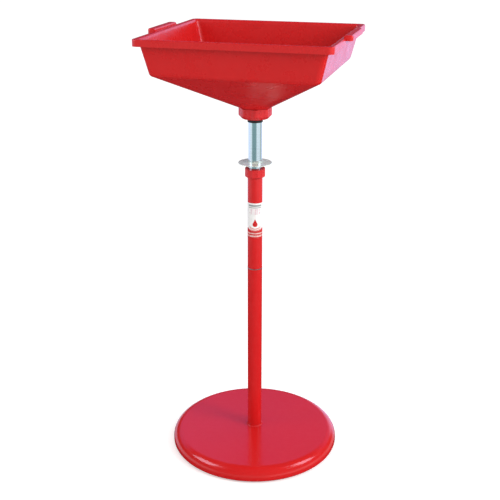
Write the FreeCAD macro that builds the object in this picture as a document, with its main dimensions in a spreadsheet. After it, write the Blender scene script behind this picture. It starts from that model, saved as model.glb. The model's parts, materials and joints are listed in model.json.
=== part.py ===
import FreeCAD, Part
import math
import os
import re
import Sketcher

# Oil drain pan on a telescopic pedestal: a funnel-shaped pan, a plated sliding tube clamped in a painted
# two-piece column, and a round pressed-steel base that is the collecting tank. Millimetres, +Z up, with the
# origin on the floor under the column's axis. +X runs along the pan's longer side.

SIZES = {
    # base tank
    "base_radius": 295.0, "base_height": 50.0, "base_rise": 7.0, "base_wall": 2.5, "shoulder": 32.0,
    "hem_radius": 8.0, "hem_width": 14.0, "plate_thick": 5.0, "plate_inset": 8.5, "skirt_gap": 4.5,
    "foot_radius": 16.0, "foot_inset": 33.0, "foot_count": 6,
    "socket_wall": 10.5, "socket_depth": 24.0, "seal_section": 1.8,
    # drain in the tank's floor
    "drain_radius": 12.0, "drain_wall": 8.0, "drain_inset": 62.0, "drain_head": 3.0, "head_reach": 3.0,
    "drain_key": 5.0, "key_sides": 6, "drain_seal_width": 3.5, "drain_seal_thick": 1.0,
    # fits: between bushes and tubes, between moving faces, and between faces that stay well apart
    "fit_gap": 0.08, "run_gap": 0.3, "loose_gap": 0.6, "throat_gap": 0.9,
    # column
    "tube_gap": 1.0, "column_wall": 1.5, "lower_length": 614.0, "upper_length": 326.0,
    "ring_thick": 3.0, "ring_proud": 0.4, "spigot_wall": 2.0, "spigot_sunk": 60.0, "spigot_proud": 24.0,
    "nipple_length": 50.0, "groove_depth": 1.2,
    "label_low": 110.0, "label_height": 125.0, "label_thick": 0.25,
    # clamp at the column's top
    "head_wall": 5.0, "head_below": 3.0, "head_above": 10.0, "seat_depth": 7.0, "seat_flare": 3.5,
    "liner_wall": 0.8, "liner_length": 30.0, "liner_flange": 2.0,
    "collet_land": 2.0, "collet_nose": 6.0, "collet_taper": 3.5, "collet_slit": 1.6,
    "lock_sides": 12, "lock_wall": 2.8, "lock_skirt": 4.0, "lock_bevel": 3.0, "lock_edge": 1.0,
    "nut_turn": 15.0, "wiper_seat": 1.0, "wiper_height": 2.8, "wiper_cover": 1.6,
    # sliding tube and what is fixed to it
    "tube_radius": 22.5, "tube_wall": 1.5, "tube_exposed": 208.0, "drop_room": 20.0,
    "bush_shoulder": 12.0, "bush_spigot": 20.0, "bush_wall": 3.0,
    "disc_radius": 55.5, "disc_gap": 21.0, "disc_thick": 2.0, "disc_lip": 3.0, "disc_round": 0.8,
    "clip_section": 2.0, "clip_gap": 0.02,
    "flange_thick": 4.0, "washer_thick": 1.0, "gasket_thick": 3.0,
    "sleeve_wall": 2.4, "sleeve_drop": 13.0, "sleeve_round": 0.8,
    # union nut and the pan's neck
    "union_lip": 11.0, "union_gap": 1.0, "union_wall": 4.9, "union_rib": 2.8, "union_ribs": 8,
    "rib_radius": 18.0, "union_bevel": 11.0, "union_edge": 1.5,
    "neck_radius": 46.0, "neck_wall": 6.0, "neck_length": 17.0,
    # pan
    "pan_length": 606.0, "pan_width": 570.0, "pan_wall": 4.0, "pan_corner": 18.0, "corner_step": 2.0,
    "wall_lean_x": 27.0, "wall_lean_y": 13.0, "wall_depth": 110.0, "funnel_depth": 128.0,
    "fold_round": 14.0, "mouth_reach": 6.0, "mouth_wall": 5.0, "mouth_flat": 1.0,
    "lip_height": 21.0, "lip_reach": 14.0, "lip_wall": 3.0, "lip_plate": 7.0, "rim_round": 3.0,
    "rim_inner_round": 11.0,
    "handle_half": 97.0, "handle_reach": 21.0, "handle_root": 5.5, "handle_rise": 9.0,
    "handle_height": 16.0, "handle_corner": 11.0, "handle_wall": 3.5, "handle_round": 5.5,
    # strainer
    "strainer_thick": 1.5, "strainer_gap": 0.6, "strainer_hole": 3.5, "strainer_rim": 3.5,
    "strainer_rows": 3, "row_holes": 6,
    "knob_radius": 6.0, "knob_stem": 2.5, "knob_height": 12.0, "knob_head": 3.0,
}

# Levels and radii that follow from the sizes, as expressions in the names above and in each other.
LEVELS = {
    "plate_low": "skirt_gap + base_wall",
    "plate_high": "plate_low + plate_thick",
    "plate_radius": "base_radius - plate_inset",
    "dome_top": "base_height + base_rise",
    "column_bore": "tube_radius + tube_gap",
    "column_radius": "column_bore + column_wall",
    "dome_slope": "base_rise / (base_radius - base_wall - column_bore)",
    "dome_under": "dome_top - base_wall",
    "socket_radius": "column_bore + socket_wall",
    "socket_top_edge": "dome_under - dome_slope * socket_wall",
    "socket_low": "dome_under - socket_depth",
    "seal_mid": "socket_low + socket_depth / 2",
    "foot_circle": "base_radius - foot_inset",
    "drain_y": "base_radius - drain_inset",
    "drain_bore": "drain_radius + fit_gap",
    "seal_low": "plate_low - drain_seal_thick",
    "head_underside": "seal_low - drain_head",
    "lower_top": "dome_top + lower_length",
    "ring_top": "lower_top + ring_thick",
    "column_top": "ring_top + upper_length",
    "spigot_radius": "column_bore - fit_gap",
    "spigot_bore": "spigot_radius - spigot_wall",
    "spigot_low": "lower_top - spigot_sunk",
    "spigot_high": "ring_top + spigot_proud",
    "groove_mid": "ring_top + spigot_proud / 2",
    "label_bottom": "ring_top + label_low",
    "head_radius": "column_radius + head_wall",
    "head_low": "column_top - head_below",
    "head_high": "column_top + head_above",
    "seat_low": "head_high - seat_depth",
    "seat_radius": "column_radius + seat_flare",
    "sliding_bore": "tube_radius + fit_gap",
    "liner_radius": "sliding_bore + liner_wall",
    "collet_low": "column_top + liner_flange + run_gap",
    "collet_radius": "seat_radius - loose_gap",
    "collet_foot": "column_radius - loose_gap - seat_flare * (seat_low - collet_low) / seat_depth",
    "collet_shoulder": "head_high + collet_land",
    "collet_high": "collet_shoulder + collet_nose",
    "collet_tip": "collet_radius - collet_taper",
    "lock_bore": "head_radius + run_gap",
    "lock_flat": "lock_bore + lock_wall",
    "lock_corner": "lock_flat / cos(180 / lock_sides)",
    "lock_low": "column_top - lock_skirt",
    "lock_roof": "collet_shoulder + loose_gap",
    "lock_throat": "collet_high + loose_gap",
    "lock_mouth": "collet_tip + run_gap",
    "wiper_low": "lock_throat + wiper_seat",
    "wiper_high": "wiper_low + wiper_height",
    "lock_high": "wiper_high + wiper_cover",
    "tube_bore": "tube_radius - tube_wall",
    "tube_top": "column_top + tube_exposed",
    "bush_low": "spigot_high + drop_room",
    "tube_low": "bush_low + bush_shoulder",
    "bush_bore": "bush_plug - bush_wall",
    "bush_radius": "column_bore - fit_gap",
    "bush_plug": "tube_bore - fit_gap",
    "disc_low": "lock_high + disc_gap",
    "disc_high": "disc_low + disc_thick",
    "clip_radius": "tube_radius + clip_section",
    "disc_slope": "disc_lip / (disc_radius - tube_radius)",
    "clip_top": "disc_low - disc_slope * clip_section - clip_gap",
    "flange_low": "tube_top - flange_thick",
    "flange_radius": "neck_radius - loose_gap",
    "washer_low": "flange_low - washer_thick",
    "sleeve_radius": "tube_radius + sleeve_wall",
    "union_low": "washer_low - union_lip",
    "union_high": "funnel_low - union_gap",
    "union_bore": "neck_radius + run_gap",
    "union_radius": "union_bore + union_wall",
    "union_outer": "union_radius + union_rib",
    "union_throat": "sleeve_radius + loose_gap",
    "sleeve_low": "union_low - sleeve_drop",
    "neck_low": "tube_top + gasket_thick",
    "neck_bore": "neck_radius - neck_wall",
    "funnel_low": "neck_low + neck_length",
    "seat_ledge": "funnel_low + pan_wall",
    "mouth_outer": "neck_radius + mouth_reach",
    "mouth_inner": "mouth_outer - mouth_wall",
    "fold_level": "funnel_low + funnel_depth",
    "rim_level": "fold_level + wall_depth",
    "fold_inner": "fold_level + pan_wall / 2",
    "wall_half_x": "pan_length / 2 - lip_reach",
    "wall_half_y": "pan_width / 2 - lip_reach",
    "wall_corner": "pan_corner - corner_step",
    "fold_half_x": "wall_half_x - wall_lean_x",
    "fold_half_y": "wall_half_y - wall_lean_y",
    "lip_low": "rim_level - lip_height",
    "handle_top": "rim_level + handle_rise",
    "handle_low": "handle_top - handle_height",
    "strainer_radius": "mouth_inner - strainer_gap",
    "strainer_top": "seat_ledge + strainer_thick",
    "strainer_pitch": "(neck_bore - strainer_rim - strainer_hole) / strainer_rows",
    "knob_top": "seat_ledge + knob_height",
}

NEAR = 1e-3     # places closer than this are one place
LEAST_CUT = 1e-4    # a cut that takes less than this has missed
PAST = "1"      # how far a cutting outline runs past the face that it opens

doc = FreeCAD.newDocument("oil_drain_pan")
sheet = doc.addObject("Spreadsheet::Sheet", "Sizes")
for row, (alias, size) in enumerate(SIZES.items(), start=1):
    sheet.set(f"A{row}", alias)
    sheet.set(f"B{row}", str(size))
    sheet.setAlias(f"B{row}", alias)
doc.recompute()

subparts = []


def bound(text):
    """The text as an expression: a size's name becomes its cell, and a level's name its own expression."""
    def swap(match):
        word = match.group(0)
        if word in SIZES:
            return "Sizes." + word
        if word in LEVELS:
            return "(" + bound(LEVELS[word]) + ")"
        return word
    return re.sub(r"[a-z_]+", swap, str(text))


def measure(text):
    """The number that an expression stands for now."""
    return float(sheet.evalExpression(bound(text)))


def subpart(kind, name):
    """A new object that is one sub-part, whose label names its file."""
    made = doc.addObject(kind, name)
    made.Label = name
    subparts.append(made)
    return made


def new_body(name):
    body = subpart("PartDesign::Body", name)
    body.AllowCompound = True
    return body


def origin_feature(body, role):
    """One of the body's own origin planes or axes."""
    return next(f for f in body.Origin.OriginFeatures if f.Role == role)


def new_sketch(body, name, role, level=None):
    """A sketch on one of the body's origin planes, raised to a level where one is given."""
    sketch = body.newObject("Sketcher::SketchObject", name)
    sketch.AttachmentSupport = (origin_feature(body, role), [""])
    sketch.MapMode = "FlatFace"
    if level is not None:
        sketch.setExpression(".AttachmentOffset.Base.z", bound(level))
    return sketch


def hold(sketch, kind, elements, text):
    """Adds a dimension whose value is bound to the sheet."""
    index = sketch.addConstraint(Sketcher.Constraint(kind, *elements, measure(text)))
    sketch.setExpression(f"Constraints[{index}]", bound(text))


def draw_outline(sketch, corners):
    """A closed outline of straight sides, each corner held at its two distances from the origin."""
    points = [FreeCAD.Vector(measure(across), measure(up), 0) for across, up in corners]
    first = sketch.GeometryCount
    count = len(points)
    for i in range(count):
        sketch.addGeometry(Part.LineSegment(points[i], points[(i + 1) % count]), False)
    for i in range(count):
        sketch.addConstraint(
            Sketcher.Constraint("Coincident", first + i, 2, first + (i + 1) % count, 1))
    for i, (across, up) in enumerate(corners):
        if abs(points[i].x) < NEAR:
            sketch.addConstraint(Sketcher.Constraint("PointOnObject", first + i, 1, -2))
        else:
            hold(sketch, "DistanceX", (-1, 1, first + i, 1), across)
        if abs(points[i].y) < NEAR:
            sketch.addConstraint(Sketcher.Constraint("PointOnObject", first + i, 1, -1))
        else:
            hold(sketch, "DistanceY", (-1, 1, first + i, 1), up)


def draw_rounded(sketch, half_x, half_y, radius):
    """A rounded rectangle about the origin."""
    a, b, r = measure(half_x), measure(half_y), measure(radius)
    v = FreeCAD.Vector
    quarter = math.pi / 2
    arcs = ((a - r, b - r, 0), (r - a, b - r, 1), (r - a, r - b, 2), (a - r, r - b, 3))
    for x, y, turn in arcs:
        circle = Part.Circle(v(x, y, 0), v(0, 0, 1), r)
        sketch.addGeometry(Part.ArcOfCircle(circle, turn * quarter, (turn + 1) * quarter), False)
    sides = ((v(a - r, b, 0), v(r - a, b, 0)), (v(-a, b - r, 0), v(-a, r - b, 0)),
             (v(r - a, -b, 0), v(a - r, -b, 0)), (v(a, r - b, 0), v(a, b - r, 0)))
    for start, end in sides:
        sketch.addGeometry(Part.LineSegment(start, end), False)
    for arc in range(4):
        side = 4 + arc
        sketch.addConstraint(Sketcher.Constraint("Tangent", arc, 2, side, 1))
        sketch.addConstraint(Sketcher.Constraint("Tangent", side, 2, (arc + 1) % 4, 1))
        sketch.addConstraint(Sketcher.Constraint("Vertical" if arc % 2 else "Horizontal", side))
        if arc:
            sketch.addConstraint(Sketcher.Constraint("Equal", 0, arc))
    sketch.addConstraint(Sketcher.Constraint("Symmetric", 0, 3, 2, 3, -1, 1))
    hold(sketch, "Radius", (0,), radius)
    hold(sketch, "DistanceX", (-1, 1, 0, 3), f"({half_x}) - ({radius})")
    hold(sketch, "DistanceY", (-1, 1, 0, 3), f"({half_y}) - ({radius})")


def draw_circle(sketch, radius, across="0", up="0"):
    """A circle about a point that lies on an axis of the sketch or off both."""
    x, y = measure(across), measure(up)
    index = sketch.addGeometry(
        Part.Circle(FreeCAD.Vector(x, y, 0), FreeCAD.Vector(0, 0, 1), measure(radius)), False)
    hold(sketch, "Radius", (index,), radius)
    if abs(x) < NEAR and abs(y) < NEAR:
        sketch.addConstraint(Sketcher.Constraint("Coincident", index, 3, -1, 1))
        return
    if abs(x) < NEAR:
        sketch.addConstraint(Sketcher.Constraint("PointOnObject", index, 3, -2))
    else:
        hold(sketch, "DistanceX", (-1, 1, index, 3), across)
    if abs(y) < NEAR:
        sketch.addConstraint(Sketcher.Constraint("PointOnObject", index, 3, -1))
    else:
        hold(sketch, "DistanceY", (-1, 1, index, 3), up)


def draw_polygon(sketch, sides, half_across, up="0"):
    """A regular polygon about a point on the sketch's vertical axis, one flat facing +Y."""
    corner = f"({half_across}) / cos(180 / {sides})"
    sides = round(measure(sides))
    half_turn = math.pi / sides
    centre = FreeCAD.Vector(0, measure(up), 0)
    reach = measure(corner)
    points = []
    for i in range(sides):
        turn = math.pi / 2 - half_turn + 2 * half_turn * i
        points.append(centre + FreeCAD.Vector(reach * math.cos(turn), reach * math.sin(turn), 0))
    for i in range(sides):
        sketch.addGeometry(Part.LineSegment(points[i], points[(i + 1) % sides]), False)
    for i in range(sides):
        sketch.addConstraint(Sketcher.Constraint("Coincident", i, 2, (i + 1) % sides, 1))
    circle = sketch.addGeometry(Part.Circle(centre, FreeCAD.Vector(0, 0, 1), reach), True)
    for i in range(sides):
        sketch.addConstraint(Sketcher.Constraint("PointOnObject", i, 1, circle))
    for i in range(1, sides):
        sketch.addConstraint(Sketcher.Constraint("Equal", 0, i))
    sketch.addConstraint(Sketcher.Constraint("Horizontal", 0))
    hold(sketch, "Radius", (circle,), corner)
    if measure(up):
        sketch.addConstraint(Sketcher.Constraint("PointOnObject", circle, 3, -2))
        hold(sketch, "DistanceY", (-1, 1, circle, 3), up)
    else:
        sketch.addConstraint(Sketcher.Constraint("Coincident", circle, 3, -1, 1))


def section(body, name, level, half_x, half_y, radius):
    """A sketch of one rounded rectangle at a level."""
    sketch = new_sketch(body, name, "XY_Plane", level)
    draw_rounded(sketch, half_x, half_y, radius)
    return sketch


def draw_lug(sketch, inner_x, outer_x, half_y, radius):
    """A rounded rectangle that stands off to +X, even about the X axis."""
    x_low, x_high, b, r = measure(inner_x), measure(outer_x), measure(half_y), measure(radius)
    v = FreeCAD.Vector
    quarter = math.pi / 2
    upper = sketch.addGeometry(
        Part.ArcOfCircle(Part.Circle(v(x_high - r, b - r, 0), v(0, 0, 1), r), 0, quarter), False)
    lower = sketch.addGeometry(
        Part.ArcOfCircle(Part.Circle(v(x_high - r, r - b, 0), v(0, 0, 1), r), 3 * quarter, 4 * quarter),
        False)
    top = sketch.addGeometry(Part.LineSegment(v(x_high - r, b, 0), v(x_low, b, 0)), False)
    root = sketch.addGeometry(Part.LineSegment(v(x_low, b, 0), v(x_low, -b, 0)), False)
    bottom = sketch.addGeometry(Part.LineSegment(v(x_low, -b, 0), v(x_high - r, -b, 0)), False)
    nose = sketch.addGeometry(Part.LineSegment(v(x_high, r - b, 0), v(x_high, b - r, 0)), False)
    for one, end, other, start in ((upper, 2, top, 1), (bottom, 2, lower, 1), (lower, 2, nose, 1),
                                   (nose, 2, upper, 1)):
        sketch.addConstraint(Sketcher.Constraint("Tangent", one, end, other, start))
    sketch.addConstraint(Sketcher.Constraint("Coincident", top, 2, root, 1))
    sketch.addConstraint(Sketcher.Constraint("Coincident", root, 2, bottom, 1))
    for line in (top, bottom):
        sketch.addConstraint(Sketcher.Constraint("Horizontal", line))
    for line in (root, nose):
        sketch.addConstraint(Sketcher.Constraint("Vertical", line))
    sketch.addConstraint(Sketcher.Constraint("Symmetric", upper, 3, lower, 3, -1))
    hold(sketch, "Radius", (upper,), radius)
    hold(sketch, "DistanceX", (-1, 1, upper, 3), f"({outer_x}) - ({radius})")
    hold(sketch, "DistanceY", (-1, 1, upper, 3), f"({half_y}) - ({radius})")
    hold(sketch, "DistanceX", (-1, 1, root, 1), inner_x)


def revolved(name, *outlines):
    """A body made by turning closed outlines of (radius, height) corners about the Z axis."""
    body = new_body(name)
    sketch = new_sketch(body, name + "_outline", "XZ_Plane")
    for corners in outlines:
        draw_outline(sketch, corners)
    doc.recompute()
    turned = body.newObject("PartDesign::Revolution", name + "_revolution")
    turned.Profile = sketch
    turned.ReferenceAxis = (sketch, ["V_Axis"])
    turned.Angle = 360
    doc.recompute()
    return body


def groove(body, name, corners):
    """Turns away the ring that an outline sweeps, and stops the script if nothing was cut."""
    before = body.Shape.Volume
    sketch = new_sketch(body, name + "_outline", "XZ_Plane")
    draw_outline(sketch, corners)
    doc.recompute()
    made = body.newObject("PartDesign::Groove", name)
    made.Profile = sketch
    made.ReferenceAxis = (sketch, ["V_Axis"])
    made.Angle = 360
    doc.recompute()
    if body.Shape.Volume > before - LEAST_CUT:
        raise RuntimeError(f"{name} cut nothing")


def ring(inner, outer, low, high):
    """The outline of a plain ring or tube."""
    return [(inner, low), (outer, low), (outer, high), (inner, high)]


def bevel(body, name, radius, level, size, inward):
    """Turns away the outer corner at a level: inward is + where the body lies above it, - where below."""
    outward = "-" if inward == "+" else "+"
    groove(body, name, [
        (f"{radius} - {size} - {PAST}", f"{level} {outward} {PAST}"),
        (f"{radius} + {PAST}", f"{level} {outward} {PAST}"),
        (f"{radius} + {PAST}", f"{level} {inward} ({size} + {PAST})")])


def pad(body, sketch, length):
    made = body.newObject("PartDesign::Pad", sketch.Name + "_pad")
    made.Profile = sketch
    made.setExpression("Length", bound(length))
    doc.recompute()
    return made


def pocket(body, sketch, length):
    """Cuts upwards from the sketch, and stops the script if nothing was cut."""
    before = body.Shape.Volume
    made = body.newObject("PartDesign::Pocket", sketch.Name + "_pocket")
    made.Profile = sketch
    made.Reversed = True
    made.setExpression("Length", bound(length))
    doc.recompute()
    if body.Shape.Volume > before - LEAST_CUT:
        raise RuntimeError(f"{made.Name} cut nothing")
    return made


def loft(body, kind, name, start, end):
    """A straight-sided loft between two sections, added or cut away as its kind says."""
    made = body.newObject(kind, name)
    made.Profile = start
    made.Sections = [end]
    made.Ruled = True
    doc.recompute()


def polar(body, name, originals, count):
    """Repeats features about the Z axis."""
    made = body.newObject("PartDesign::PolarPattern", name)
    made.Originals = originals
    made.Axis = (origin_feature(body, "Z_Axis"), [""])
    made.Angle = 360
    made.setExpression("Occurrences", bound(count))
    body.Tip = made
    doc.recompute()


def turned_edge(shape, radius, height):
    """The name of the round edge of this radius at this height."""
    r, z = measure(radius), measure(height)
    for number, edge in enumerate(shape.Edges, start=1):
        curve = edge.Curve
        if isinstance(curve, Part.Circle) and abs(curve.Radius - r) < NEAR and abs(curve.Center.z - z) < NEAR:
            return [f"Edge{number}"]
    raise RuntimeError("an edge to be rounded was not found")


def level_edges(shape, height, accepts):
    """The names of the edges that lie wholly at a height and whose middle is accepted."""
    z = measure(height)
    names = []
    for number, edge in enumerate(shape.Edges, start=1):
        middle = edge.valueAt((edge.FirstParameter + edge.LastParameter) / 2)
        if all(abs(vertex.Z - z) < NEAR for vertex in edge.Vertexes) and abs(middle.z - z) < NEAR:
            if accepts(middle):
                names.append(f"Edge{number}")
    if not names:
        raise RuntimeError("no edge was found at the level")
    return names


def fillet(body, name, names, radius):
    base = body.Tip
    made = body.newObject("PartDesign::Fillet", name)
    made.Base = (base, names)
    made.setExpression("Radius", bound(radius))
    doc.recompute()


def torus(name, radius, section, level):
    made = subpart("Part::Torus", name)
    made.setExpression("Radius1", bound(radius))
    made.setExpression("Radius2", bound(section))
    made.setExpression(".Placement.Base.z", bound(level))
    return made


def turn_body(body, angle):
    """Turns a finished sub-part about the column's axis."""
    body.setExpression(".Placement.Rotation.Angle", bound(angle))
    doc.recompute()


# ---------------------------------------------------------------- base tank

def base_shell():
    """Pressed cover: a shallow cone, a round shoulder, a short side and a hem turned in under it."""
    body = revolved("base_shell", [
        ("column_bore", "dome_top"), ("base_radius", "base_height"), ("base_radius", "skirt_gap"),
        ("base_radius - hem_width", "skirt_gap"), ("base_radius - hem_width", "plate_low"),
        ("base_radius - base_wall", "plate_low"), ("base_radius - base_wall", "base_height - base_wall"),
        ("column_bore", "dome_under")])
    inner = "base_radius - base_wall"
    for name, radius, height, rounding in (
            ("shoulder_outside", "base_radius", "base_height", "shoulder"),
            ("shoulder_inside", inner, "base_height - base_wall", "shoulder - base_wall"),
            ("hem_outside", "base_radius", "skirt_gap", "hem_radius"),
            ("hem_inside", inner, "plate_low", "hem_radius - base_wall")):
        fillet(body, name, turned_edge(body.Shape, radius, height), rounding)


def base_plate():
    """Thick steel floor of the tank, which also weights it, with a hole for the drain plug."""
    body = revolved("base_plate", [
        ("0", "plate_low"), ("plate_radius", "plate_low"), ("plate_radius", "plate_high"),
        ("0", "plate_high")])
    sketch = new_sketch(body, "drain_hole", "XY_Plane", "plate_low")
    draw_circle(sketch, "drain_bore", up="drain_y")
    pocket(body, sketch, "plate_thick")


def drain_fittings():
    """Boss welded over the hole in the plate, flush plug below it and the plug's sealing ring."""
    boss = new_body("drain_boss")
    sketch = new_sketch(boss, "boss_ring", "XY_Plane", "plate_high")
    draw_circle(sketch, "drain_radius + drain_wall", up="drain_y")
    draw_circle(sketch, "drain_bore", up="drain_y")
    pad(boss, sketch, "drain_wall")
    seal = new_body("drain_seal")
    sketch = new_sketch(seal, "seal_ring", "XY_Plane", "seal_low")
    draw_circle(sketch, "drain_radius + drain_seal_width", up="drain_y")
    draw_circle(sketch, "drain_bore", up="drain_y")
    pad(seal, sketch, "drain_seal_thick")
    plug = new_body("drain_plug")
    head = new_sketch(plug, "plug_head", "XY_Plane", "head_underside")
    draw_circle(head, "drain_radius + head_reach", up="drain_y")
    pad(plug, head, "drain_head")
    shank = new_sketch(plug, "plug_shank", "XY_Plane", "seal_low")
    draw_circle(shank, "drain_radius", up="drain_y")
    pad(plug, shank, "drain_seal_thick + plate_thick + drain_wall")
    key = new_sketch(plug, "plug_key", "XY_Plane", "head_underside")
    draw_polygon(key, "key_sides", "drain_key", "drain_y")
    pocket(plug, key, "drain_head + drain_key")


def rubber_feet():
    """Round pads bonded under the plate, on one circle."""
    body = new_body("rubber_feet")
    sketch = new_sketch(body, "foot", "XY_Plane")
    draw_circle(sketch, "foot_radius", across="foot_circle")
    foot = pad(body, sketch, "plate_low")
    polar(body, "feet", [foot], "foot_count")


def column_socket():
    """Bush welded under the cover, which takes the column's nipple, with an O-ring near its top."""
    revolved("column_socket", [
        ("column_bore", "socket_low"), ("socket_radius", "socket_low"),
        ("socket_radius", "socket_top_edge"), ("column_bore", "dome_under"),
        ("column_bore", "seal_mid + seal_section"), ("column_bore + seal_section", "seal_mid + seal_section"),
        ("column_bore + seal_section", "seal_mid - seal_section"),
        ("column_bore", "seal_mid - seal_section")])
    torus("socket_o_ring", "column_bore + (seal_section - fit_gap) / 2",
          "(seal_section + fit_gap) / 2", "seal_mid")


# ---------------------------------------------------------------- column

def column():
    """Two painted tubes, the nipple and the spigot that join them to the base and to each other."""
    revolved("column_lower", ring("column_bore", "column_radius", "dome_top", "lower_top"))
    revolved("foot_nipple", ring("spigot_bore", "spigot_radius", "socket_low", "dome_top + nipple_length"))
    revolved("joint_ring", ring("column_bore", "column_radius + ring_proud", "lower_top", "ring_top"))
    revolved("column_spigot", [
        ("spigot_bore", "spigot_low"), ("spigot_radius", "spigot_low"),
        ("spigot_radius", "groove_mid - groove_depth"),
        ("spigot_radius - groove_depth", "groove_mid - groove_depth"),
        ("spigot_radius - groove_depth", "groove_mid + groove_depth"),
        ("spigot_radius", "groove_mid + groove_depth"), ("spigot_radius", "spigot_high"),
        ("spigot_bore", "spigot_high")])
    torus("spigot_o_ring", "column_bore - (groove_depth + fit_gap) / 2",
          "(groove_depth + fit_gap) / 2", "groove_mid")
    revolved("column_upper", ring("column_bore", "column_radius", "ring_top", "column_top"))
    revolved("label_sleeve", ring("column_radius", "column_radius + label_thick", "label_bottom",
                                  "label_bottom + label_height"))


def clamp():
    """Threaded head on the column, liner, split collet and lock nut that grip the sliding tube."""
    revolved("column_head", [
        ("column_radius", "head_low"), ("head_radius", "head_low"), ("head_radius", "head_high"),
        ("seat_radius", "head_high"), ("column_radius", "seat_low")])
    revolved("tube_liner", [
        ("sliding_bore", "column_top - liner_length"), ("liner_radius", "column_top - liner_length"),
        ("liner_radius", "column_top"), ("column_radius - fit_gap", "column_top"),
        ("column_radius - fit_gap", "column_top + liner_flange"),
        ("sliding_bore", "column_top + liner_flange")])
    collet = revolved("clamp_collet", [
        ("sliding_bore", "collet_low"), ("collet_foot", "collet_low"), ("collet_radius", "head_high"),
        ("collet_radius", "collet_shoulder"), ("collet_tip", "collet_high"),
        ("sliding_bore", "collet_high")])
    slit = new_sketch(collet, "collet_slit", "XY_Plane", "collet_low")
    draw_outline(slit, [("tube_bore", "0 - collet_slit / 2"), ("head_radius", "0 - collet_slit / 2"),
                        ("head_radius", "collet_slit / 2"), ("tube_bore", "collet_slit / 2")])
    pocket(collet, slit, "collet_high - collet_low")
    revolved("wiper_ring", ring("sliding_bore", "lock_mouth", "wiper_low", "wiper_high"))


def lock_nut():
    """Many-sided hand nut that presses the collet down into the column's head."""
    body = new_body("lock_nut")
    sketch = new_sketch(body, "lock_flats", "XY_Plane", "lock_low")
    draw_polygon(sketch, "lock_sides", "lock_flat")
    pad(body, sketch, "lock_high - lock_low")
    groove(body, "lock_hollow", [
        ("0", "lock_low - " + PAST), ("lock_bore", "lock_low - " + PAST), ("lock_bore", "lock_roof"),
        ("collet_radius + run_gap", "lock_roof"), ("lock_mouth", "lock_throat"),
        ("lock_mouth", "wiper_high"), ("tube_radius + throat_gap", "wiper_high"),
        ("tube_radius + throat_gap", "lock_high + " + PAST), ("0", "lock_high + " + PAST)])
    bevel(body, "lock_lower_bevel", "lock_corner", "lock_low", "lock_bevel", "+")
    bevel(body, "lock_upper_bevel", "lock_corner", "lock_high", "lock_edge", "-")
    turn_body(body, "nut_turn")


# ---------------------------------------------------------------- sliding tube

def sliding_tube():
    """Plated tube, its lower guide bush, the drip disc between two clips and the welded top flange."""
    revolved("inner_tube", ring("tube_bore", "tube_radius", "tube_low", "tube_top"))
    revolved("guide_bush", [
        ("bush_bore", "bush_low"), ("bush_radius", "bush_low"),
        ("bush_radius", "tube_low - run_gap"), ("bush_plug", "tube_low - run_gap"),
        ("bush_plug", "tube_low + bush_spigot"), ("bush_bore", "tube_low + bush_spigot")])
    disc = revolved("drip_disc", [
        ("tube_radius", "disc_low"), ("disc_radius", "disc_low - disc_lip"),
        ("disc_radius", "disc_high - disc_lip"), ("tube_radius", "disc_high")])
    fillet(disc, "disc_edge", turned_edge(disc.Shape, "disc_radius", "disc_high - disc_lip"),
           "disc_round")
    revolved("disc_clips",
             ring("tube_radius", "clip_radius", "clip_top - clip_section", "clip_top"),
             ring("tube_radius", "clip_radius", "disc_high", "disc_high + clip_section"))
    revolved("tube_flange", ring("tube_radius", "flange_radius", "flange_low", "tube_top"))
    revolved("neck_gasket", ring("neck_bore", "flange_radius", "tube_top", "neck_low"))
    sleeve = revolved("neck_sleeve", ring("tube_radius", "sleeve_radius", "sleeve_low", "flange_low"))
    fillet(sleeve, "sleeve_edge", turned_edge(sleeve.Shape, "sleeve_radius", "sleeve_low"), "sleeve_round")
    revolved("slip_washer", ring("sleeve_radius + run_gap", "flange_radius", "washer_low", "flange_low"))


def union_nut():
    """Large ribbed hand nut that holds the pan's neck down on the tube's flange."""
    body = revolved("union_nut", ring("0", "union_radius", "union_low", "union_high"))
    sketch = new_sketch(body, "grip_rib", "XY_Plane", "union_low")
    draw_circle(sketch, "rib_radius", up="0 - (union_outer - rib_radius)")
    rib = pad(body, sketch, "union_high - union_low")
    polar(body, "grip_ribs", [rib], "union_ribs")
    groove(body, "union_hollow", [
        ("0", "union_low - " + PAST), ("union_throat", "union_low - " + PAST),
        ("union_throat", "washer_low"), ("union_bore", "washer_low"),
        ("union_bore", "union_high + " + PAST), ("0", "union_high + " + PAST)])
    bevel(body, "union_lower_bevel", "union_outer", "union_low", "union_bevel", "+")
    bevel(body, "union_upper_bevel", "union_outer", "union_high", "union_edge", "-")
    turn_body(body, "nut_turn")


# ---------------------------------------------------------------- pan

def rim_and_grips(body):
    """The flat rim with its hollow turned-down lip, and a hand grip with a finger space at each end."""
    rim = section(body, "rim_block", "lip_low", "pan_length / 2", "pan_width / 2", "pan_corner")
    pad(body, rim, "lip_height")
    grip = new_sketch(body, "grip", "XY_Plane", "handle_low")
    draw_lug(grip, "pan_length / 2 - handle_root", "pan_length / 2 + handle_reach", "handle_half",
             "handle_corner")
    polar(body, "grips", [pad(body, grip, "handle_height")], "2")
    under = section(body, "under_rim", "lip_low", "pan_length / 2 - lip_wall", "pan_width / 2 - lip_wall",
                    "pan_corner - lip_wall")
    pocket(body, under, "lip_height - lip_plate")
    finger = new_sketch(body, "finger_space", "XY_Plane", "handle_low")
    draw_lug(finger, "pan_length / 2 + fit_gap", "pan_length / 2 + handle_reach - handle_wall",
             "handle_half - handle_wall", "handle_corner - handle_wall")
    polar(body, "finger_spaces", [pocket(body, finger, "handle_height - handle_wall")], "2")


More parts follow.
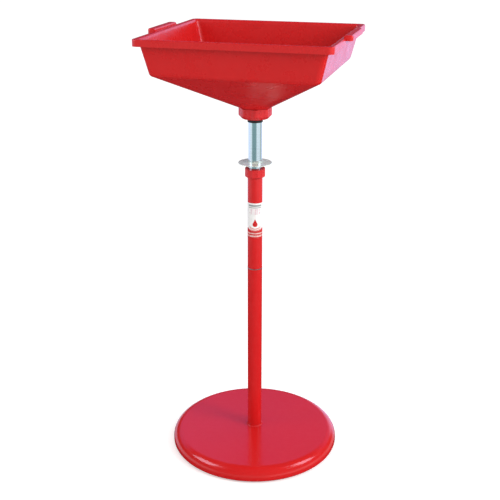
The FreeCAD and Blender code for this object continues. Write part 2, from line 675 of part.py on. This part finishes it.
def walls_and_neck(body):
    """Steep walls down to the fold, the funnel below it, the neck, and the hollow through all three."""
    fold = ("fold_half_x", "fold_half_y", "pan_corner")
    inner_fold = ("fold_half_x - pan_wall", "fold_half_y - pan_wall", "pan_corner - pan_wall")
    loft(body, "PartDesign::AdditiveLoft", "outer_wall",
         section(body, "wall_top", "rim_level - pan_wall / 2", "wall_half_x", "wall_half_y", "wall_corner"),
         section(body, "wall_fold", "fold_level", *fold))
    loft(body, "PartDesign::AdditiveLoft", "outer_funnel",
         section(body, "funnel_top", "fold_level", *fold),
         section(body, "funnel_bottom", "funnel_low", "mouth_outer", "mouth_outer",
                 "mouth_outer - mouth_flat"))
    neck = new_sketch(body, "neck", "XY_Plane", "neck_low")
    draw_circle(neck, "neck_radius")
    pad(body, neck, "seat_ledge - neck_low")
    loft(body, "PartDesign::SubtractiveLoft", "wall_hollow",
         section(body, "hollow_top", "rim_level + " + PAST, "wall_half_x - pan_wall",
                 "wall_half_y - pan_wall", "wall_corner - pan_wall"),
         section(body, "hollow_fold", "fold_inner", *inner_fold))
    loft(body, "PartDesign::SubtractiveLoft", "funnel_hollow",
         section(body, "cone_top", "fold_inner", *inner_fold),
         section(body, "cone_bottom", "seat_ledge", "mouth_inner", "mouth_inner",
                 "mouth_inner - mouth_flat"))
    bore = new_sketch(body, "neck_bore", "XY_Plane", "neck_low")
    draw_circle(bore, "neck_bore")
    pocket(body, bore, "seat_ledge - neck_low + " + PAST)


def round_pan(body):
    """The rounds along the fold, the rim's two edges and the top of each grip."""
    inner_x, inner_y = measure("wall_half_x"), measure("wall_half_y")
    band = measure("rim_inner_round - pan_wall") + NEAR
    beside_grip = measure("handle_half") + NEAR

    def everywhere(place):
        return True

    def inside_wall(place):
        return abs(place.x) < inner_x - NEAR and abs(place.y) < inner_y - NEAR

    def outside_band(place):
        beyond = abs(place.x) > inner_x + band or abs(place.y) > inner_y + band
        return beyond and abs(place.y) > beside_grip

    for name, level, accepts, radius in (
            ("fold_outside", "fold_level", everywhere, "fold_round"),
            ("fold_inside", "fold_inner", everywhere, "fold_round - pan_wall"),
            ("rim_inside", "rim_level", inside_wall, "rim_inner_round"),
            ("grip_top", "handle_top", everywhere, "handle_round"),
            ("rim_outside", "rim_level", outside_band, "rim_round")):
        fillet(body, name, level_edges(body.Shape, level, accepts), radius)


def pan():
    """Moulded pan: a rim with a turned-down lip, two hand grips, steep walls, a funnel and a neck."""
    body = new_body("pan")
    rim_and_grips(body)
    walls_and_neck(body)
    round_pan(body)


def strainer():
    """Loose perforated disc on the ledge at the bottom of the funnel, with a lifting knob."""
    body = revolved("strainer", [
        ("0", "seat_ledge"), ("strainer_radius", "seat_ledge"), ("strainer_radius", "strainer_top"),
        ("knob_stem", "strainer_top"), ("knob_stem", "knob_top - knob_head"),
        ("knob_radius", "knob_top - knob_head"), ("knob_radius", "knob_top"), ("0", "knob_top")])
    for row in range(1, round(measure("strainer_rows")) + 1):
        sketch = new_sketch(body, f"hole_row_{row}", "XY_Plane", "seat_ledge")
        draw_circle(sketch, "strainer_hole", across=f"{row} * strainer_pitch")
        hole = pocket(body, sketch, "strainer_thick")
        polar(body, f"holes_{row}", [hole], f"{row} * row_holes")


base_shell()
base_plate()
drain_fittings()
rubber_feet()
column_socket()
column()
clamp()
lock_nut()
sliding_tube()
union_nut()
pan()
strainer()
doc.recompute()

faulty = [o.Name for o in doc.Objects if "Invalid" in o.State or "Error" in o.State]
if faulty:
    raise RuntimeError(f"these objects failed: {faulty}")
for made in subparts:
    if made.Shape.isNull() or not made.Shape.isValid() or not made.Shape.Solids:
        raise RuntimeError(f"{made.Label} has no valid solid")
os.makedirs("parts", exist_ok=True)
for made in subparts:
    made.Shape.exportStep(f"parts/{made.Label}.step")
    print(f"{made.Label}: {len(made.Shape.Solids)} solid(s), {made.Shape.Volume / 1000:.1f} cm3")
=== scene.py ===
import json
import math

import bmesh
import bpy
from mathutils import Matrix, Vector


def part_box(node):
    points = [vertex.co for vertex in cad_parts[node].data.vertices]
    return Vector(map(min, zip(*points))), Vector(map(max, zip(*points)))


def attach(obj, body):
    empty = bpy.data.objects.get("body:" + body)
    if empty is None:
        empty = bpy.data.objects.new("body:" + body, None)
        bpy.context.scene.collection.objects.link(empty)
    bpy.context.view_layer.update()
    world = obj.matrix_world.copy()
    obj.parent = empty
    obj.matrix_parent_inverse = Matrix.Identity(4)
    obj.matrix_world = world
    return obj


# Looks for an oil drain pan on a telescopic stand. Metres, +Z up, origin on the floor under the column.

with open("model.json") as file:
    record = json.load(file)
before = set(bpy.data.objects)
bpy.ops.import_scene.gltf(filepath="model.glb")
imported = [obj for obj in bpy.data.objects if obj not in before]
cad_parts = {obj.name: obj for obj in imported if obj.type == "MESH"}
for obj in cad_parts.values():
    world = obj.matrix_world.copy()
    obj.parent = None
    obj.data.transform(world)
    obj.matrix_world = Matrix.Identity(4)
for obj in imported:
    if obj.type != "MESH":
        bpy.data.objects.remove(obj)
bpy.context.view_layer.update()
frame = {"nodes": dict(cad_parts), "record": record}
NODES = frame["nodes"]

# The camera, fitted to the outlines of the column, base and pan.
CAMERA_AZIMUTH = math.radians(15.7)     # how far round it stands from straight ahead of the long side
CAMERA_PITCH = math.radians(20.6)
CAMERA_REACH = 2.902
CAMERA_HEIGHT = 1.826
CAMERA_ASIDE = -0.0168
LENS = 65.5             # millimetres
SENSOR = 36             # millimetres
LIGHT_TARGET = 0.5      # the height on the column's axis that every lamp is turned to

# Weld beads.
WELD_STEP = 0.0028      # from one ripple to the next
WELD_FACETS = 4         # rings in each ripple
WELD_POINTS = 5         # points round the bead's face
WELD_RIPPLE = 0.16
WELD_WANDER = 0.07
WELD_WANDERS = (5, 3)   # slow swells round the whole bead
WELD_HOLLOW = 0.10      # how far the bead's face dips inside a round
WELD_ROOT = 0.35        # how far the bead runs on into the corner behind it
HEM_WIDTH = 0.014       # how far the base shell's hem turns in under the floor plate

# The floor, as the camera and as other rays see it.
FLOOR_HALF = 30
FLOOR_SEEN = ((0.90, 0.90, 0.90, 1), (0.92, 0.92, 0.92, 1))
FLOOR_BOUNCE = (0.80, 0.80, 0.80, 1)
FLOOR_GLOW = 0.40       # what makes the floor look like white paper to the camera

# What gloss mirrors near the horizon, by degrees round from the camera, the right-hand side positive.
PANEL_RING = (
    (-180, (0.80, 0.88, 1.30, 1)), (-62, (0.86, 0.97, 1.02, 1)), (-46, (0.24, 0.38, 0.39, 1)),
    (14, (0.24, 0.38, 0.39, 1)), (30, (0.84, 0.95, 1.00, 1)), (78, (0.84, 0.95, 1.00, 1)),
    (98, (0.50, 0.58, 0.60, 1)), (135, (0.50, 0.58, 0.60, 1)), (152, (0.80, 0.88, 1.30, 1)),
    (180, (0.80, 0.88, 1.30, 1)),
)
TALL_PANEL = (136, 148, 164, 172)       # degrees round where the tall panel begins, is full, and ends
TALL_COLOUR = (1.00, 1.20, 1.95, 1)
SKY_COLOUR = (0.24, 0.33, 0.92, 1)      # a band of pale blue behind, about 30 degrees up
DARK = (0.03, 0.03, 0.04, 1)

# Where each of those fades, as the share of a ray's direction that points up, ahead or right.
RING_FOOT, RING_TOP = (-0.38, -0.26), (0.02, 0.10)
TALL_FOOT, TALL_TOP = (-0.36, -0.24), (0.34, 0.46)
SKY_FOOT, SKY_TOP = (0.36, 0.46), (0.62, 0.74)
SKY_BEHIND = (-0.3, -0.6)
SKY_BY_SIDE = (-0.12, 0.12, 1.0, 0.66)          # full on the left, two thirds on the right
WHITE_BY_HEIGHT = (0.0, 0.9, 1.34, 0.66)        # what lights matt faces: bright low down, dimmer overhead
WHITE_BY_SIDE = (-0.9, -0.1, 0.50, 1.0)         # and half as bright on the far left

LAMP_WHITE = (1.0, 0.99, 0.97)
PANEL_BLUE = (0.72, 0.80, 1.0)

# The label's print: millimetres up from its middle, and across from the line that faces the camera.
PRINT_SOFT = 0.4        # half the width of a printed shape's edge
BAND_SOFT = 0.35        # the same for bars, rules and stripes
HEADING_BARS = ((54.1, 3.0), (47.0, 1.3))       # middle and half height
HEADING_HALF = 24
RULES = 5
RULE_TOP, RULE_PITCH, RULE_HEIGHT = 41.5, 4.0, 1.0
RULE_HALF, RULE_SHORTER = 20, 2.0
DROP_MIDDLE, DROP_RADIUS = -11.5, 8.6
DROP_TAPER = (-10.0, 8.0, 8.2, 0.1)     # half width 8.2 at the drop's shoulder, 0.1 at its tip
DROP_SHOULDER = (-10.5, -9.7)
RIPPLE_MIDDLE, RIPPLE_PITCH, RIPPLE_THICK = -17.0, 6.0, 3.4
RIPPLE_RADIUS, RIPPLE_WIDE = 12.0, 1.7
TRAY_LEVEL, TRAY_CURVE, TRAY_RISE = -35.0, 0.012, 9.0   # its edge curves up, and runs level round the back
STRIPES = ((-43.5, 2.2), (-53.0, 3.0))          # middle and half height

NOISE_SPAN = (0.3, 0.7)     # nearly all of a noise's values lie between these
RED = (0.680, 0.0135, 0.0140, 1)
RED_DEEP = (0.640, 0.0110, 0.0120, 1)
RED_RUBBED = (0.690, 0.030, 0.032, 1)


# ---------------------------------------------------------------- node helpers

class Nodes:
    """A node tree with short ways to add and join its nodes."""

    def __init__(self, tree, coordinates):
        self.tree = tree
        self.place = tree.nodes.new("ShaderNodeTexCoord").outputs[coordinates]

    def link(self, source, target):
        self.tree.links.new(source, target)

    def feed(self, socket, value):
        """Joins a socket or sets a plain value."""
        if isinstance(value, bpy.types.NodeSocket):
            self.link(value, socket)
        else:
            socket.default_value = value

    def math(self, operation, first, second=0.0, clamp=False):
        node = self.tree.nodes.new("ShaderNodeMath")
        node.operation = operation
        node.use_clamp = clamp
        self.feed(node.inputs[0], first)
        self.feed(node.inputs[1], second)
        return node.outputs[0]

    def noise(self, scale, detail=3.0, roughness=0.5, stretch=(1, 1, 1)):
        mapping = self.tree.nodes.new("ShaderNodeMapping")
        mapping.inputs["Scale"].default_value = stretch
        self.link(self.place, mapping.inputs["Vector"])
        node = self.tree.nodes.new("ShaderNodeTexNoise")
        self.link(mapping.outputs[0], node.inputs["Vector"])
        node.inputs["Scale"].default_value = scale
        node.inputs["Detail"].default_value = detail
        node.inputs["Roughness"].default_value = roughness
        return node.outputs["Fac"]

    def range(self, value, low, high, to_low, to_high):
        node = self.tree.nodes.new("ShaderNodeMapRange")
        self.feed(node.inputs["Value"], value)
        for key, number in (("From Min", low), ("From Max", high), ("To Min", to_low), ("To Max", to_high)):
            node.inputs[key].default_value = number
        return node.outputs["Result"]

    def rise(self, value, edges):
        return self.range(value, *edges, 0.0, 1.0)

    def fall(self, value, edges):
        return self.range(value, *edges, 1.0, 0.0)

    def vary(self, noise, least, most):
        """Spreads a noise between two values."""
        return self.range(noise, *NOISE_SPAN, least, most)

    def mix(self, factor, first, second):
        node = self.tree.nodes.new("ShaderNodeMix")
        node.data_type = "RGBA"
        self.feed(node.inputs["Factor"], factor)
        self.feed(node.inputs["A"], first)
        self.feed(node.inputs["B"], second)
        return node.outputs["Result"]

    def xyz(self):
        node = self.tree.nodes.new("ShaderNodeSeparateXYZ")
        self.link(self.place, node.inputs[0])
        return node.outputs

    def radius(self):
        x, y, _ = self.xyz()
        return self.math("SQRT", self.math("ADD", self.math("MULTIPLY", x, x), self.math("MULTIPLY", y, y)))


class Shader(Nodes):
    """A material's node tree round one surface."""

    def __init__(self, name):
        self.material = bpy.data.materials.new(name)
        self.material.use_nodes = True
        tree = self.material.node_tree
        tree.nodes.clear()
        super().__init__(tree, "Object")
        self.surface = tree.nodes.new("ShaderNodeBsdfPrincipled")
        output = tree.nodes.new("ShaderNodeOutputMaterial")
        self.link(self.surface.outputs["BSDF"], output.inputs["Surface"])

    def set(self, **values):
        for key, value in values.items():
            self.feed(self.surface.inputs[key.replace("_", " ")], value)

    def bump(self, height, strength, distance):
        node = self.tree.nodes.new("ShaderNodeBump")
        self.feed(node.inputs["Height"], height)
        node.inputs["Strength"].default_value = strength
        node.inputs["Distance"].default_value = distance
        self.link(node.outputs["Normal"], self.surface.inputs["Normal"])

    def edge_wear(self, spread):
        """1 on convex edges and 0 elsewhere, from how sharply the surface turns within a small radius."""
        bevel = self.tree.nodes.new("ShaderNodeBevel")
        bevel.samples = 4
        bevel.inputs["Radius"].default_value = spread
        geometry = self.tree.nodes.new("ShaderNodeNewGeometry")
        dot = self.tree.nodes.new("ShaderNodeVectorMath")
        dot.operation = "DOT_PRODUCT"
        self.link(bevel.outputs[0], dot.inputs[0])
        self.link(geometry.outputs["Normal"], dot.inputs[1])
        return self.range(dot.outputs["Value"], 0.995, 0.85, 0.0, 1.0)


# ---------------------------------------------------------------- materials

def red_enamel():
    """Glossy stove enamel on steel: faint orange peel, slight tone drift and a film of workshop dust."""
    s = Shader("red_enamel")
    dust = s.range(s.noise(55, 6, 0.65), 0.45, 0.80, 0.0, 0.25)
    tone = s.mix(s.noise(6, 3), RED, RED_DEEP)
    s.set(Base_Color=s.mix(dust, tone, RED_RUBBED))
    s.set(Roughness=s.vary(s.noise(30, 5, 0.6), 0.15, 0.22))
    s.set(Specular_IOR_Level=0.45, Coat_Weight=0.15, Coat_Roughness=0.06)
    s.bump(s.noise(160, 2), 0.03, 0.0004)
    return s.material


def red_plastic():
    """Glossy moulded polyethylene: very fine skin texture, slow waviness and scuffs."""
    s = Shader("red_plastic")
    tone = s.mix(s.noise(5, 3), RED, RED_DEEP)
    scuff = s.range(s.noise(85, 8, 0.72, (1, 1, 0.25)), 0.62, 0.84, 0.0, 0.20)
    s.set(Base_Color=s.mix(scuff, tone, RED_RUBBED))
    s.set(Roughness=s.vary(s.noise(24, 5, 0.6), 0.24, 0.32))
    s.set(Specular_IOR_Level=0.45)
    wave = s.math("MULTIPLY", s.noise(14, 2), 0.8)
    s.bump(s.math("ADD", wave, s.math("MULTIPLY", s.noise(600, 2), 0.2)), 0.06, 0.0008)
    return s.material


def red_nut_plastic():
    """Moulded nylon of the hand nuts, a touch pinker than the pan, rubbed paler on its ribs and corners."""
    s = Shader("red_nut_plastic")
    tone = s.mix(s.noise(22, 3), (0.690, 0.014, 0.017, 1), (0.650, 0.012, 0.015, 1))
    worn = s.math("MULTIPLY", s.edge_wear(0.0012), s.range(s.noise(160, 4), 0.35, 0.65, 0.2, 1.0))
    s.set(Base_Color=s.mix(s.math("MULTIPLY", worn, 0.4), tone, (0.70, 0.10, 0.13, 1)))
    s.set(Roughness=s.vary(s.noise(120, 4), 0.24, 0.36))
    s.set(Specular_IOR_Level=0.5)
    s.bump(s.noise(900, 3), 0.08, 0.0004)
    return s.material


def bright_zinc():
    """Bright plated tube: drawn lines along its length, faint rings where the clamp has rubbed."""
    s = Shader("bright_zinc")
    lines = s.noise(900, 3, 0.6, (1, 1, 0.01))
    rings = s.noise(260, 4, 0.6, (0.02, 0.02, 1))
    s.set(Base_Color=s.mix(lines, (0.70, 0.80, 0.84, 1), (0.86, 0.92, 0.95, 1)))
    s.set(Metallic=1.0, Roughness=s.range(rings, 0.35, 0.7, 0.10, 0.22))
    s.bump(lines, 0.06, 0.0003)
    return s.material


def zinc_plate():
    """Passivated zinc on pressed parts: pale grey-green, with fine turning marks and a cloudy spangle."""
    s = Shader("zinc_plate")
    cloud = s.noise(70, 5, 0.6)
    turning = s.math("SINE", s.math("MULTIPLY", s.radius(), 9000.0))
    s.set(Base_Color=s.mix(cloud, (0.74, 0.87, 0.79, 1), (0.81, 0.94, 0.85, 1)))
    s.set(Metallic=0.25, Roughness=s.vary(cloud, 0.24, 0.38))
    s.bump(turning, 0.02, 0.0002)
    return s.material


def plain_steel():
    """Oiled machined steel."""
    s = Shader("plain_steel")
    cloud = s.noise(90, 5, 0.6)
    s.set(Base_Color=s.mix(cloud, (0.34, 0.34, 0.34, 1), (0.55, 0.54, 0.52, 1)))
    s.set(Metallic=1.0, Roughness=s.vary(cloud, 0.30, 0.5))
    s.bump(s.noise(800, 3, 0.6, (1, 1, 0.1)), 0.08, 0.0003)
    return s.material


def brass():
    """Turned brass, slightly dulled."""
    s = Shader("brass")
    cloud = s.noise(120, 5, 0.6)
    s.set(Base_Color=s.mix(cloud, (0.60, 0.40, 0.15, 1), (0.80, 0.60, 0.28, 1)))
    s.set(Metallic=1.0, Roughness=s.vary(cloud, 0.25, 0.45))
    s.bump(s.math("SINE", s.math("MULTIPLY", s.radius(), 12000.0)), 0.05, 0.0002)
    return s.material


def black_primer():
    """Semi-matt primer on the tank's floor, scraped where it has been dragged."""
    s = Shader("black_primer")
    scrape = s.range(s.noise(30, 7, 0.7, (0.3, 1, 1)), 0.60, 0.72, 0.0, 1.0)
    s.set(Base_Color=s.mix(scrape, (0.035, 0.035, 0.04, 1), (0.16, 0.155, 0.15, 1)))
    s.set(Roughness=s.vary(s.noise(40, 4), 0.45, 0.62))
    s.bump(s.noise(500, 3), 0.15, 0.0005)
    return s.material


def black_rubber():
    """Oil-proof rubber with a fine moulded grain and a dusty bloom."""
    s = Shader("black_rubber")
    bloom = s.noise(60, 5, 0.65)
    s.set(Base_Color=s.mix(bloom, (0.012, 0.012, 0.013, 1), (0.045, 0.045, 0.045, 1)))
    s.set(Roughness=s.vary(bloom, 0.55, 0.75))
    s.bump(s.noise(1500, 3), 0.25, 0.0003)
    return s.material


def white_nylon():
    """Natural nylon, slightly translucent, oil-stained in patches."""
    s = Shader("white_nylon")
    stain = s.range(s.noise(45, 5, 0.6), 0.5, 0.75, 0.0, 0.6)
    s.set(Base_Color=s.mix(stain, (0.78, 0.76, 0.70, 1), (0.62, 0.54, 0.40, 1)))
    s.set(Roughness=s.vary(s.noise(90, 4), 0.38, 0.52))
    s.set(Subsurface_Weight=0.15, Subsurface_Scale=0.002)
    s.bump(s.noise(700, 3), 0.10, 0.0003)
    return s.material


def label_film():
    """Printed film: grey heading bars, ruled lines, a drop over two ripples and a striped red tray."""
    s = Shader("label_film")
    low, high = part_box("label_sleeve")
    middle = (low.z + high.z) / 2
    turn_x, turn_y = math.sin(CAMERA_AZIMUTH), -math.cos(CAMERA_AZIMUTH)
    x, y, z = s.xyz()
    ahead = s.math("ADD", s.math("MULTIPLY", x, turn_x), s.math("MULTIPLY", y, turn_y))
    aside = s.math("ADD", s.math("MULTIPLY", x, -turn_y), s.math("MULTIPLY", y, turn_x))
    across = s.math("MULTIPLY", s.math("ARCTAN2", aside, ahead), high.x * 1000)
    up = s.math("MULTIPLY", s.math("SUBTRACT", z, middle), 1000.0)

    def band(value, centre, half):
        """1 within half of the centre, with a soft printed edge."""
        off = s.math("ABSOLUTE", s.math("SUBTRACT", value, centre))
        return s.fall(off, (half - BAND_SOFT, half + BAND_SOFT))

    def both(first, second):
        return s.math("MULTIPLY", first, second)

    def disc(centre, radius, wide=1.0):
        dx = s.math("DIVIDE", across, wide)
        dy = s.math("SUBTRACT", up, centre)
        away = s.math("SQRT", s.math("ADD", s.math("MULTIPLY", dx, dx), s.math("MULTIPLY", dy, dy)))
        return s.fall(away, (radius - PRINT_SOFT, radius + PRINT_SOFT))

    film = (0.94, 0.94, 0.93, 1)
    print_red = (0.62, 0.012, 0.014, 1)
    bars = s.math("MAXIMUM", *(band(up, *bar) for bar in HEADING_BARS))
    heading = both(bars, band(across, 0, HEADING_HALF))
    colour = s.mix(s.math("MULTIPLY", heading, 0.88), film, (0.22, 0.26, 0.26, 1))
    gaps = s.range(s.noise(300, 2, 0.5, (1, 1, 0.02)), 0.42, 0.50, 0.2, 1.0)
    for row in range(RULES):
        level, half = RULE_TOP - RULE_PITCH * row, RULE_HALF - RULE_SHORTER * (row % 3)
        rule = both(band(up, level, RULE_HEIGHT), band(across, 0, half))
        colour = s.mix(s.math("MULTIPLY", both(rule, gaps), 0.8), colour, (0.60, 0.20, 0.33, 1))
    side = s.math("SUBTRACT", s.range(up, *DROP_TAPER), s.math("ABSOLUTE", across))
    point = both(s.rise(side, (-PRINT_SOFT, PRINT_SOFT)), s.rise(up, DROP_SHOULDER))
    drop = s.math("MAXIMUM", disc(DROP_MIDDLE, DROP_RADIUS), point, clamp=True)
    colour = s.mix(drop, colour, print_red)
    for depth in (0, 1):
        middle = RIPPLE_MIDDLE - RIPPLE_PITCH * depth
        outer = disc(middle, RIPPLE_RADIUS, RIPPLE_WIDE)
        inner = disc(middle + RIPPLE_THICK, RIPPLE_RADIUS, RIPPLE_WIDE)
        ripple = s.math("SUBTRACT", outer, inner, clamp=True)
        colour = s.mix(s.math("MULTIPLY", ripple, 0.85), colour, (0.72, 0.10, 0.07, 1))
    curve = s.math("MULTIPLY", s.math("MULTIPLY", across, across), TRAY_CURVE)
    above = s.math("SUBTRACT", up, s.math("MINIMUM", curve, TRAY_RISE))
    tray = s.fall(above, (TRAY_LEVEL - PRINT_SOFT, TRAY_LEVEL + PRINT_SOFT))
    colour = s.mix(tray, colour, print_red)
    patchy = s.range(s.noise(420, 2, 0.5, (1, 1, 0.3)), 0.38, 0.50, 0.35, 1.0)
    stripes = both(patchy, s.math("MAXIMUM", *(band(up, *stripe) for stripe in STRIPES)))
    colour = s.mix(s.math("MULTIPLY", stripes, 0.85), colour, (0.88, 0.66, 0.62, 1))
    s.set(Base_Color=colour, Roughness=s.vary(s.noise(70, 4), 0.22, 0.34))
    s.bump(s.noise(200, 3), 0.04, 0.0003)
    return s.material


MATERIALS = {
    "red_paint": red_enamel(), "plate_paint": black_primer(), "plain_steel": plain_steel(),
    "zinc_plate": zinc_plate(), "bright_zinc": bright_zinc(), "brass": brass(),
    "black_rubber": black_rubber(), "white_nylon": white_nylon(), "red_plastic": red_plastic(),
    "red_nut_plastic": red_nut_plastic(), "label_film": label_film(),
}


def dress_cad_nodes():
    """Gives every CAD node the material of its slot in the record."""
    slots = {entry["node"]: entry["material_slot"] for entry in frame["record"]["subparts"]}
    for name, node in NODES.items():
        node.data.materials.clear()
        node.data.materials.append(MATERIALS[slots[name]])


# ---------------------------------------------------------------- welds

def weld_bead(name, body, slot, radius, level, leg, reach):
    """A hand-laid fillet weld round the column's axis: overlapping ripples, thicker where they meet.

    leg is the bead's height and reach is its width, which is negative where it fills a corner inwards."""
    mesh = bpy.data.meshes.new(name)
    shape = bmesh.new()
    steps = round(2 * math.pi * radius / WELD_STEP)
    rings = []
    first, second = WELD_WANDERS
    for step in range(steps * WELD_FACETS):
        turn = 2 * math.pi * step / (steps * WELD_FACETS)
        phase = (step % WELD_FACETS) / WELD_FACETS
        swell = 1 + WELD_RIPPLE * (1 - phase) ** 2 + WELD_WANDER * math.sin(first * turn) * math.cos(second * turn)
        section = [(-WELD_ROOT * reach, -WELD_ROOT * leg)]
        for point in range(WELD_POINTS):
            slope = 0.5 * math.pi * point / (WELD_POINTS - 1)
            section.append((reach * swell * (1 - WELD_HOLLOW * math.sin(2 * slope)) * math.cos(slope),
                            leg * swell * (1 - WELD_HOLLOW * math.sin(2 * slope)) * math.sin(slope)))
        rings.append([shape.verts.new(((radius + across) * math.cos(turn), (radius + across) * math.sin(turn),
                                       level + up)) for across, up in section])
    for ring, following in zip(rings, rings[1:] + rings[:1]):
        for low, high in zip(range(len(ring)), list(range(1, len(ring))) + [0]):
            shape.faces.new((ring[low], following[low], following[high], ring[high]))
    bmesh.ops.recalc_face_normals(shape, faces=shape.faces)
    shape.to_mesh(mesh)
    shape.free()
    mesh.polygons.foreach_set("use_smooth", [True] * len(mesh.polygons))
    mesh.materials.append(MATERIALS[slot])
    bead = bpy.data.objects.new(name, mesh)
    bpy.context.scene.collection.objects.link(bead)
    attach(bead, body)


def welds():
    """Beads where the column meets the base, and where the floor plate meets its shell's hem."""
    low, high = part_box("column_lower")
    weld_bead("column_foot_weld", "stand", "red_paint", high.x, low.z, 0.0035, 0.0035)
    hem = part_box("base_shell")[1].x - HEM_WIDTH
    weld_bead("tank_floor_weld", "stand", "plate_paint", hem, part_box("base_plate")[0].z, -0.0022, -0.0028)


# ---------------------------------------------------------------- stage

def ray(tree, kind):
    """1 for rays of one kind, such as those that the camera sends."""
    return tree.nodes.new("ShaderNodeLightPath").outputs[kind]


def white_stage():
    """Pale floor that the camera sees as white paper, and that other rays see a little darker and without glow."""
    mesh = bpy.data.meshes.new("floor")
    corners = [(x * FLOOR_HALF, y * FLOOR_HALF, 0) for x, y in ((-1, -1), (1, -1), (1, 1), (-1, 1))]
    mesh.from_pydata(corners, [], [(0, 1, 2, 3)])
    floor = bpy.data.objects.new("floor", mesh)
    bpy.context.scene.collection.objects.link(floor)
    floor.visible_glossy = False
    s = Shader("floor_paper")
    seen = ray(s.tree, "Is Camera Ray")
    paper = s.mix(s.noise(2, 2), *FLOOR_SEEN)
    s.set(Base_Color=s.mix(seen, FLOOR_BOUNCE, paper), Roughness=0.9, Specular_IOR_Level=0.0)
    s.set(Emission_Color=(1, 1, 1, 1), Emission_Strength=s.math("MULTIPLY", seen, FLOOR_GLOW))
    mesh.materials.append(s.material)


def studio_world():
    """White surroundings, whose mirror image is a ring of panels: grey by the camera, pale blue behind."""
    world = bpy.data.worlds.new("studio")
    bpy.context.scene.world = world
    world.use_nodes = True
    tree = world.node_tree
    s = Nodes(tree, "Generated")

    def along(axis):
        node = tree.nodes.new("ShaderNodeVectorMath")
        node.operation = "DOT_PRODUCT"
        s.link(s.place, node.inputs[0])
        node.inputs[1].default_value = axis
        return node.outputs["Value"]

    right = along((math.cos(CAMERA_AZIMUTH), math.sin(CAMERA_AZIMUTH), 0))
    ahead = along((math.sin(CAMERA_AZIMUTH), -math.cos(CAMERA_AZIMUTH), 0))
    height = along((0, 0, 1))
    ring = tree.nodes.new("ShaderNodeValToRGB")
    azimuth = s.math("ARCTAN2", right, ahead)
    s.link(s.range(azimuth, -math.pi, math.pi, 0.0, 1.0), ring.inputs[0])
    stops = ring.color_ramp.elements
    while len(stops) < len(PANEL_RING):
        stops.new(0.5)
    for stop, (degrees, colour) in zip(stops, PANEL_RING):
        stop.position = degrees / 360 + 0.5
        stop.color = colour
    near_horizon = s.math("MULTIPLY", s.rise(height, RING_FOOT), s.fall(height, RING_TOP))
    level = s.mix(near_horizon, DARK, ring.outputs["Color"])
    sky = s.math("MULTIPLY", s.rise(height, SKY_FOOT), s.fall(height, SKY_TOP))
    sky = s.math("MULTIPLY", s.math("MULTIPLY", sky, s.rise(ahead, SKY_BEHIND)), s.range(right, *SKY_BY_SIDE))
    level = s.mix(sky, level, SKY_COLOUR)
    begin, full, fade, end = (math.radians(edge) for edge in TALL_PANEL)
    beside = s.math("MULTIPLY", s.rise(azimuth, (begin, full)), s.fall(azimuth, (fade, end)))
    tall = s.math("MULTIPLY", s.rise(height, TALL_FOOT), s.fall(height, TALL_TOP))
    mirrored = s.mix(s.math("MULTIPLY", beside, tall), level, TALL_COLOUR)
    white = s.math("MULTIPLY", s.range(height, *WHITE_BY_HEIGHT), s.range(right, *WHITE_BY_SIDE))
    lit = s.mix(ray(tree, "Is Glossy Ray"), white, mirrored)
    colour = s.mix(ray(tree, "Is Camera Ray"), lit, (1, 1, 1, 1))
    background = tree.nodes["Background"]
    s.link(colour, background.inputs["Color"])
    background.inputs["Strength"].default_value = 1.0


def softbox(name, azimuth, height, reach, size, power, colour, mirrored):
    """An area light turned to the column, azimuth 0 ahead and 90 on the right.

    It either only lights, or, if mirrored, is only seen in gloss."""
    data = bpy.data.lights.new(name, "AREA")
    data.shape = "RECTANGLE"
    data.size, data.size_y = size
    data.energy = power
    data.color = colour
    lamp = bpy.data.objects.new(name, data)
    a = math.radians(azimuth)
    lamp.location = (reach * math.sin(a), -reach * math.cos(a), height)
    target = Vector((0, 0, LIGHT_TARGET))
    lamp.rotation_euler = (target - Vector(lamp.location)).to_track_quat("-Z", "Y").to_euler()
    lamp.visible_diffuse = not mirrored
    lamp.visible_glossy = mirrored
    bpy.context.scene.collection.objects.link(lamp)


def camera():
    """The camera at the photograph's viewing angle."""
    data = bpy.data.cameras.new("camera")
    data.lens = LENS
    data.sensor_width = SENSOR
    view = bpy.data.objects.new("camera", data)
    turn = CAMERA_AZIMUTH
    aside, back = CAMERA_ASIDE, -CAMERA_REACH
    view.location = (aside * math.cos(turn) - back * math.sin(turn),
                     aside * math.sin(turn) + back * math.cos(turn), CAMERA_HEIGHT)
    view.rotation_euler = (math.pi / 2 - CAMERA_PITCH, 0, turn)
    bpy.context.scene.collection.objects.link(view)
    bpy.context.scene.camera = view


dress_cad_nodes()
welds()
white_stage()
studio_world()
softbox("key_right", azimuth=75, height=2.4, reach=3.0, size=(1.2, 1.2), power=50, colour=LAMP_WHITE, mirrored=False)
softbox("key_left", azimuth=-59, height=2.4, reach=3.0, size=(1.2, 1.2), power=16, colour=LAMP_WHITE, mirrored=False)
softbox("panel_right", azimuth=96, height=2.5, reach=2.6, size=(1.3, 1.6), power=46, colour=PANEL_BLUE, mirrored=True)
softbox("panel_left", azimuth=-66, height=2.5, reach=2.6, size=(1.7, 1.6), power=54, colour=PANEL_BLUE, mirrored=True)
camera()
bpy.context.scene.view_settings.view_transform = "Standard"
